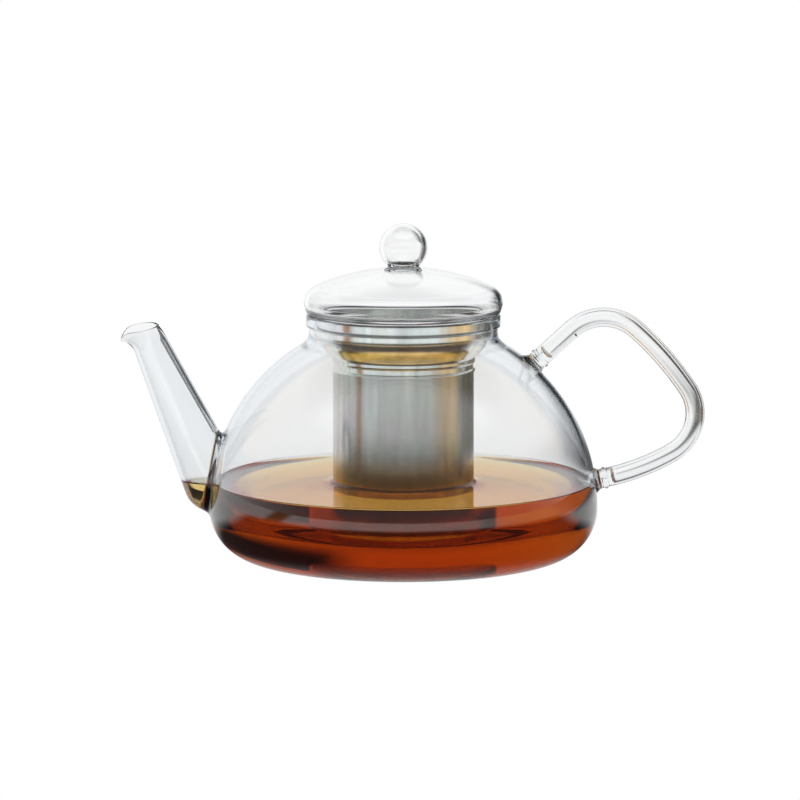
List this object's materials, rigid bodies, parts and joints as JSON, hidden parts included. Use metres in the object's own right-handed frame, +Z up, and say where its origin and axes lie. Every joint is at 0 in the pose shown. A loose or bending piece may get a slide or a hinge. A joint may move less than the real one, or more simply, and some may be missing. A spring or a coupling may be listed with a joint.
{
  "type": "teapot",
  "caption": "Round glass teapot with a tapered spout, a bent glass tube handle, a lift-out steel infuser and a domed glass lid with a ball knob.",
  "frame": {"origin": "centre of the vessel's flat base", "axes": "+Z up through the neck, +X towards the handle, -X towards the spout, +Y away from the viewer who has the spout on the left"},
  "size_m": [0.2554, 0.17, 0.1468],
  "materials": {
    "vessel_glass": "clear blown glass",
    "spout_glass": "clear blown glass",
    "handle_glass": "clear drawn glass tube",
    "foot_glass": "clear fused glass",
    "lid_glass": "clear blown glass",
    "knob_glass": "clear solid glass",
    "infuser_plain_steel": "satin stainless steel",
    "infuser_perforated_steel": "finely perforated stainless steel"
  },
  "bodies": {
    "pot": {"vessel": "vessel_glass", "spout": "spout_glass", "handle": "handle_glass", "handle_upper_foot": "foot_glass", "handle_lower_foot": "foot_glass"},
    "infuser": {"infuser_collar": "infuser_plain_steel", "infuser_wall": "infuser_perforated_steel", "infuser_base": "infuser_perforated_steel"},
    "lid": {"lid_dome": "lid_glass", "lid_plug": "lid_glass", "lid_knob": "knob_glass"}
  },
  "joints": [
    {"name": "infuser_lift", "type": "slide", "parent": "pot", "child": "infuser", "axis": [0, 0, 1], "range_m": [0, 0.11]},
    {"name": "lid_lift", "type": "slide", "parent": "infuser", "child": "lid", "axis": [0, 0, 1], "range_m": [0, 0.06]}
  ]
}
